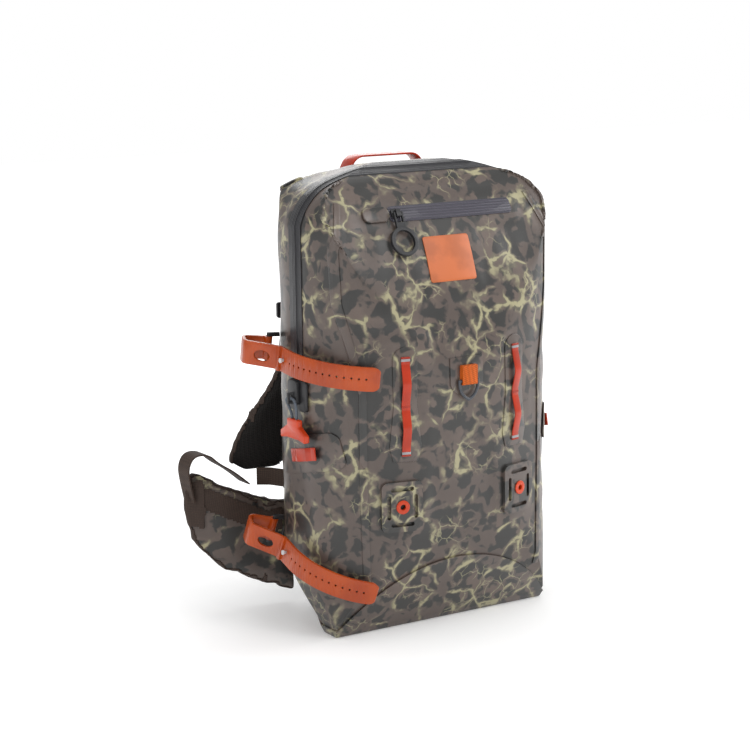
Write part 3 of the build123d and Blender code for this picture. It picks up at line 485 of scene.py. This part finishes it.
for (y0, z0), (y1, z1) in zip(FOLD_LINE, FOLD_LINE[1:]):
    centre = face_centres(bag_skin)
    near = ((centre[:, 1] > min(y0, y1) - 0.004) & (centre[:, 1] < max(y0, y1) + 0.004)
            & (centre[:, 2] > min(z0, z1) - 0.004) & (centre[:, 2] < max(z0, z1) + 0.004))
    select_faces(bag_skin, near)
    bpy.ops.mesh.bisect(plane_co=(0, y0, z0), plane_no=(0, z1 - z0, y0 - y1))
    bpy.ops.object.mode_set(mode="OBJECT")

centre = face_centres(bag_skin)
select_faces(bag_skin, inside_fold(centre[:, 1], centre[:, 2]))
bpy.ops.mesh.separate(type="SELECTED")
bpy.ops.object.mode_set(mode="OBJECT")
flap_skin = [o for o in bpy.context.selected_objects if o != bag_skin][0]
flap_skin.name = "front_panel_skin"
bag_skin.name = "bag_body_skin"


def dress(piece, material, body, *replaced, slot=None, angle=35):
    """Gives a finished piece its material, its smooth shading and its body."""
    piece.data.materials.clear()
    piece.data.materials.append(material)
    smooth(piece, angle)
    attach(piece, body)
    if replaced:
        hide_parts(*replaced)
    return piece


for skin_piece, skin_body, skin_node in ((bag_skin, "pack_body", "main_shell"),
                                         (flap_skin, "front_flap", "front_panel")):
    modify(skin_piece, "SOLIDIFY", thickness=WALL, offset=-1)
    dress(skin_piece, camo_cloth, skin_body, skin_node, slot="camo_fabric", angle=50)


# Welded patches, seam tapes and the base boot: second layers of the same coated cloth, their cut
# edges rolled down by the welding, so each stands a millimetre or two proud with a soft edge.
def softened(names, name, width, segments=2, dissolve=1.0):
    """Copy of CAD nodes with its flat faces made whole and its edges rounded."""
    piece = copy_of(names, name)
    alone(piece)
    bpy.ops.object.mode_set(mode="EDIT")
    bpy.ops.mesh.select_all(action="SELECT")
    bpy.ops.mesh.dissolve_limited(angle_limit=math.radians(dissolve))
    bpy.ops.object.mode_set(mode="OBJECT")
    modify(piece, "BEVEL", width=width, segments=segments, limit_method="ANGLE", angle_limit=math.radians(40),
           use_clamp_overlap=True)
    return piece


def softened_node(node_name, width, material, segments=2, angle=35):
    """Rounded copy that takes the place of one CAD node on that node's own body."""
    piece = softened((node_name,), node_name + "_piece", width, segments)
    body = nodes[node_name]["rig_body"]
    slots = {part["node"]: part["material_slot"] for part in frame["record"]["subparts"]}
    return dress(piece, material, body, node_name, slot=slots[node_name], angle=angle)


patch_cloth = coated_cloth("camouflage welded patch", rough=0.34, coat=0.30)
for patch in ("base_boot", "side_patches", "strip_patches", "d_ring_patch", "lower_seam_tapes",
              "upper_seam_tapes", "pocket_garage"):
    softened_node(patch, 0.0006, patch_cloth)


# Badge: a plain satin orange patch of heat-bonded film.
def satin(name, colour, rough, grain_scale=700.0, grain=0.00010, coat=0.0, drift=0.12, specular=0.5):
    """Plain film or moulding: fine grain, and colour that drifts a little."""
    sheet = Sheet(name)
    where = sheet.place()
    darker = tuple(c * (1 - drift) for c in colour)
    lighter = tuple(min(1, c * (1 + drift)) for c in colour)
    tone = sheet.mix(sheet.noise(where, 40.0, 3.0).step(0.35, 0.65), darker, lighter)
    grain_height = sheet.noise(where, grain_scale, 3.0)
    return sheet.finish(colour=tone, rough=sheet.noise(where, 90.0, 3.0) * 0.10 + (rough - 0.05),
                        normal=sheet.bump(grain_height, grain, 0.6), coat=coat, coat_rough=0.12,
                        specular=specular)


badge_film = satin("satin orange film", (0.50, 0.125, 0.035), 0.45)
softened_node("badge_patch", 0.0003, badge_film)


# Attachment strips, side loops and haul handle: bonded polyurethane ribbon with a high gloss,
# bowed between its tacks.
orange_ribbon = satin("glossy orange ribbon", (0.42, 0.026, 0.003), 0.30, 260.0, 0.00016,
                      coat=0.2, specular=0.35)
ribbons = {}
for ribbon in ("attachment_strips", "side_loop_left", "side_loop_right", "haul_handle", "handle_tacks"):
    ribbons[ribbon] = softened_node(ribbon, 0.0005, orange_ribbon)


def sleeve(piece, name, axis, low, high, thickness):
    """Thin layer round a ribbon between two places along an axis."""
    layer = bpy.data.objects.new(name, piece.data.copy())
    bpy.context.collection.objects.link(layer)
    alone(layer)
    for place, sign in ((low, -1), (high, 1)):
        centre = [0, 0, 0]
        normal = [0, 0, 0]
        centre[axis] = place
        normal[axis] = sign
        bpy.ops.object.mode_set(mode="EDIT")
        bpy.ops.mesh.select_all(action="SELECT")
        bpy.ops.mesh.bisect(plane_co=centre, plane_no=normal, clear_outer=True)
        bpy.ops.object.mode_set(mode="OBJECT")
    modify(layer, "SOLIDIFY", thickness=thickness, offset=1)
    return layer


# Welds at the attachment strips' ends: a pale pressed bar and a row of red thread beyond it, and a row of red
# thread across their middle.
weld_film = satin("pale pressed film", (0.30, 0.29, 0.30), 0.35, 900.0, 0.0002)
red_thread = satin("red thread", (0.33, 0.022, 0.006), 0.6, 2500.0, 0.0004)
strip_low, strip_high = (corner[2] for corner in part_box("attachment_strips"))
for tack, low, high, material in (("weld_low", strip_low + 0.0022, strip_low + 0.0048, weld_film),
                                  ("weld_high", strip_high - 0.0048, strip_high - 0.0022, weld_film),
                                  ("thread_low", strip_low + 0.0003, strip_low + 0.0020, red_thread),
                                  ("thread_middle", (strip_low + strip_high) / 2 - 0.0008,
                                   (strip_low + strip_high) / 2 + 0.0008, red_thread),
                                  ("thread_high", strip_high - 0.0020, strip_high - 0.0003, red_thread)):
    bar = sleeve(ribbons["attachment_strips"], "strip_" + tack, 2, low, high, 0.0003)
    dress(bar, material, nodes["attachment_strips"]["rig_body"], slot="orange_coated")


# Rod straps: moulded polyurethane, slightly see-through, with fine ribs across and a row of holes.
# The pull of the main zip is moulded from a brighter grade.
def moulded_orange(name, colour, deep, rib_scale=0.0):
    sheet = Sheet(name)
    where = sheet.place()
    tone = sheet.mix(sheet.noise(where, 30.0, 3.0).step(0.3, 0.7), deep, colour)
    height = sheet.noise(where, 300.0, 3.0) * 0.4
    if rib_scale:
        height = height + (where.axis(1) * rib_scale).sine() * 0.5
    return sheet.finish(colour=tone, rough=sheet.noise(where, 70.0, 3.0) * 0.15 + 0.24,
                        normal=sheet.bump(height, 0.00025, 0.5), coat=0.25, coat_rough=0.2,
                        through=0.05, through_size=0.003, specular=0.35)


strap_orange = moulded_orange("moulded orange strap", (0.44, 0.062, 0.003), (0.34, 0.042, 0.002), 1900.0)
toggle_orange = moulded_orange("moulded orange pull", (0.62, 0.048, 0.003), (0.50, 0.036, 0.002))
for strap in ("rod_strap_upper", "rod_strap_lower"):
    softened_node(strap, 0.0006, strap_orange)
toggle = softened_node("zip_pull", 0.0012, toggle_orange)
softened_node("lash_eyelets", 0.0003, toggle_orange)


# Black mouldings: dock, sliders, rings, buckles and ladder locks, in matt acetal.
black_moulding = satin("matt black moulding", (0.018, 0.018, 0.020), 0.45, 500.0, 0.00012)
for moulding in ("zip_dock", "zip_end_stop", "main_slider", "pocket_slider", "pocket_pull",
                 "strap_ring_upper", "strap_ring_lower", "ladder_locks", "chest_buckle_socket",
                 "chest_buckle_plug", "belt_buckle_plug", "belt_buckle_socket", "sternum_clips"):
    softened_node(moulding, 0.0005, black_moulding)


# Zips: the main one is a black airtight tape with fine lines along it, and the pocket's is a
# ribbed slate tape. On both the colour is painted lighter on the ribs' crests and darker in their
# grooves, as painted highlight lines and painted shade. The inner one is made with the linings.
def lined(name, colour, rough, axis, scale, depth):
    sheet = Sheet(name)
    where = sheet.place()
    lines = (where.axis(axis) * scale).sine()
    # Painted highlight and painted shade: the colour is lighter on each rib's crest and darker in its groove.
    return sheet.finish(colour=sheet.mix(lines.step(-0.2, 1.0), tuple(c * 0.7 for c in colour), colour),
                        rough=sheet.noise(where, 120.0, 3.0) * 0.15 + (rough - 0.08),
                        normal=sheet.bump(lines + sheet.noise(where, 800.0) * 0.4, depth, 0.8), coat=0.1)


main_tape = lined("black airtight zip", (0.022, 0.022, 0.026), 0.38, 1, 2600.0, 0.0003)
pocket_tape = lined("ribbed slate zip", (0.060, 0.055, 0.078), 0.42, 2, 2300.0, 0.0004)
for tape in ("rear_zip_tape", "front_zip_tape"):
    softened_node(tape, 0.0003, main_tape)
softened_node("pocket_zip", 0.0004, pocket_tape)


# Webbing, padding and linings of the harness and the inside.
def woven(name, colour, rough=0.75, scale=2100.0, depth=0.0003):
    sheet = Sheet(name)
    where = sheet.place()
    turned = sheet.node("ShaderNodeMapping", {}, {"Vector": where, "Rotation": (0.6, 0.6, 0.785)})
    threads = (turned.axis(0) * scale).sine() * (turned.axis(1) * scale).sine()
    threads = threads * (turned.axis(2) * scale).sine()
    tone = sheet.mix(threads.step(-0.5, 0.5), tuple(c * 0.6 for c in colour), tuple(c * 1.15 for c in colour))
    soiled = sheet.noise(where, 45.0, 3.0).step(0.3, 0.75) * 0.3
    tone = sheet.mix(soiled, tone, tuple(c * 0.5 for c in colour))
    return sheet.finish(colour=tone, rough=sheet.noise(where, 60.0) * 0.1 + (rough - 0.05),
                        normal=sheet.bump(threads, depth, 0.6), specular=0.3)


brown_web = woven("brown nylon webbing", (0.060, 0.038, 0.028))
mesh_cloth = woven("black spacer mesh", (0.016, 0.014, 0.013), 0.85, 1500.0, 0.0005)
orange_web = woven("orange webbing", (0.58, 0.105, 0.006), 0.6)
lining = woven("dark lining cloth", (0.05, 0.05, 0.05), 0.6)
for web in ("harness_yoke", "load_lifters", "sternum_rails", "lower_webbings", "webbing_anchors",
            "sternum_webbing"):
    softened_node(web, 0.0004, brown_web)
softened_node("d_ring_webbing", 0.0006, orange_web)
for lined_piece in ("inner_pocket", "inner_pocket_zip", "pocket_liner", "frame_sheet"):
    softened_node(lined_piece, 0.0003, lining)


# Pads, shoulder straps and hip-belt wings: sewn covers filled with foam, so they swell between
# their edges. The mesh side lies against the wearer, and the wings have camouflage outside.
def swollen(names, name, voxel=0.005, inset=0.0012, cap=0.006, pressure=4.0):
    """Copy of CAD pads blown up a little by a cloth simulation, from a slightly smaller start."""
    piece = copy_of(names, name)
    modify(piece, "REMESH", mode="VOXEL", voxel_size=voxel)
    modify(piece, "SMOOTH", factor=0.5, iterations=3)
    start = points_of(piece) - normals_of(piece) * inset
    set_points(piece, start)
    alone(piece)
    cloth = piece.modifiers.new("swell", "CLOTH")
    cloth.settings.use_pressure = True
    cloth.settings.uniform_pressure_force = pressure
    cloth.settings.effector_weights.gravity = 0
    cloth.settings.quality = 4
    cloth.point_cache.frame_start = 1
    cloth.point_cache.frame_end = 20
    for number in range(1, 21):
        bpy.context.scene.frame_set(number)
    blown = piece.evaluated_get(bpy.context.evaluated_depsgraph_get())
    moved = points_of(blown) - start
    length = np.linalg.norm(moved, axis=1)[:, None]
    piece.modifiers.remove(cloth)
    set_points(piece, start + moved * np.minimum(1, cap / np.maximum(length, 1e-9)))
    bpy.context.scene.frame_set(1)
    modify(piece, "SUBSURF", levels=1, render_levels=1)
    return piece


def part_of(piece, name, chosen, thickness, offset=1.0):
    """New layer made from the chosen faces of a piece, given a thickness of its own."""
    layer = bpy.data.objects.new(name, piece.data.copy())
    bpy.context.collection.objects.link(layer)
    select_faces(layer, ~np.asarray(chosen, bool))
    bpy.ops.mesh.delete(type="FACE")
    bpy.ops.object.mode_set(mode="OBJECT")
    modify(layer, "SOLIDIFY", thickness=thickness, offset=offset)
    return layer


def face_normals(piece):
    co = np.empty(len(piece.data.polygons) * 3)
    piece.data.polygons.foreach_get("normal", co)
    return co.reshape(-1, 3)


camo_pad = coated_cloth("camouflage laminated cloth", rough=0.55, coat=0.05)
binding = woven("brown stretch binding", (0.052, 0.033, 0.025), 0.7, 2600.0, 0.0002)
for pad, voxel in (("back_pads", 0.005), ("lumbar_pad", 0.005)):
    cushion = swollen((pad,), pad + "_cushion", voxel)
    dress(cushion, mesh_cloth, "pack_body", pad, slot="mesh_foam", angle=60)

for side in ("left", "right"):
    strap_node = "shoulder_strap_" + side
    strap = swollen((strap_node,), strap_node + "_pad", 0.0045)
    dress(strap, mesh_cloth, "pack_body", strap_node, slot="mesh_foam", angle=60)
    edge_normals = face_normals(strap)
    edge = part_of(strap, strap_node + "_binding", np.abs(edge_normals[:, 0]) > 0.62, 0.0011)
    dress(edge, binding, "pack_body", slot="brown_webbing", angle=60)

    wing_node = "hip_wing_" + side
    wing_body = side + "_wing"
    wing = swollen((wing_node,), wing_node + "_pad", 0.0045)
    outward = face_normals(wing)
    wing_face = face_centres(wing)
    dress(wing, camo_pad, wing_body, wing_node, slot="camo_pad", angle=60)
    wing.data.materials.append(mesh_cloth)
    for polygon, facing in zip(wing.data.polygons, outward[:, 1]):
        polygon.material_index = 1 if facing > 0.35 else 0
    rim = part_of(wing, wing_node + "_binding", np.abs(outward[:, 1]) < 0.62, 0.0012)
    dress(rim, binding, wing_body, slot="brown_webbing", angle=60)
    along = np.abs(wing_face[:, 0]) - 0.102
    centre_z = np.interp(along, (0.0, 0.035, 0.075, 0.128), (0.103, 0.098, 0.117, 0.143))
    on_band = (outward[:, 1] < -0.3) & (np.abs(wing_face[:, 2] - centre_z) < 0.0125) & (along > 0.018)
    band_piece = part_of(wing, wing_node + "_band", on_band, 0.0020)
    dress(band_piece, binding, wing_body, slot="brown_webbing", angle=60)
    on_tab = (outward[:, 1] < -0.3) & (along > 0.104) & (wing_face[:, 2] > 0.098 + (along - 0.104) * 0.2)
    tab = part_of(wing, wing_node + "_tab", on_tab & (wing_face[:, 2] < 0.150), 0.0036)
    dress(tab, binding, wing_body, slot="brown_webbing", angle=60)

cord_braid = woven("grey blue braid", (0.13, 0.15, 0.18), 0.6, 3600.0, 0.0003)
route.materials.append(cord_braid)

# Hip-belt webbing: it leaves the wing's end, curls over and goes back behind the wing's top.
CURL = ((0.219, 0.128), (0.224, 0.150), (0.226, 0.168), (0.218, 0.181), (0.200, 0.180), (0.188, 0.168),
        (0.168, 0.156), (0.150, 0.140))
for side, mirror in (("left", -1), ("right", 1)):
    line = bpy.data.curves.new("belt_curl_" + side, "CURVE")
    line.dimensions = "2D"
    turns = line.splines.new("NURBS")
    turns.points.add(len(CURL) - 1)
    for point, (x, z) in zip(turns.points, CURL):
        point.co = (mirror * x, z, 0, 1)
    turns.order_u = 3
    turns.use_endpoint_u = True
    line.extrude = 0.0125
    curl = bpy.data.objects.new("belt_curl_" + side, line)
    bpy.context.collection.objects.link(curl)
    alone(curl)
    bpy.ops.object.convert(target="MESH")
    curl = bpy.context.object
    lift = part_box("belt_webbing_" + side)
    middle_y = (lift[0][1] + lift[1][1]) / 2
    flat = points_of(curl)
    set_points(curl, np.column_stack((flat[:, 0], flat[:, 2] + middle_y, flat[:, 1])))
    modify(curl, "SOLIDIFY", thickness=0.0016, offset=0)
    dress(curl, brown_web, side + "_wing", "belt_webbing_" + side, slot="brown_webbing", angle=60)


# Metal pins, D-ring and lash plates, which keep the shapes of the CAD.
steel = satin("polished steel", (0.55, 0.55, 0.56), 0.2)
gunmetal = satin("gunmetal", (0.05, 0.055, 0.065), 0.3)
for plain, material in (("strap_pin_upper", steel), ("strap_pin_lower", steel), ("d_ring", gunmetal),
                        ("lash_plate_left", patch_cloth), ("lash_plate_right", patch_cloth)):
    nodes[plain].data.materials.clear()
    nodes[plain].data.materials.append(material)

bpy.context.view_layer.update()
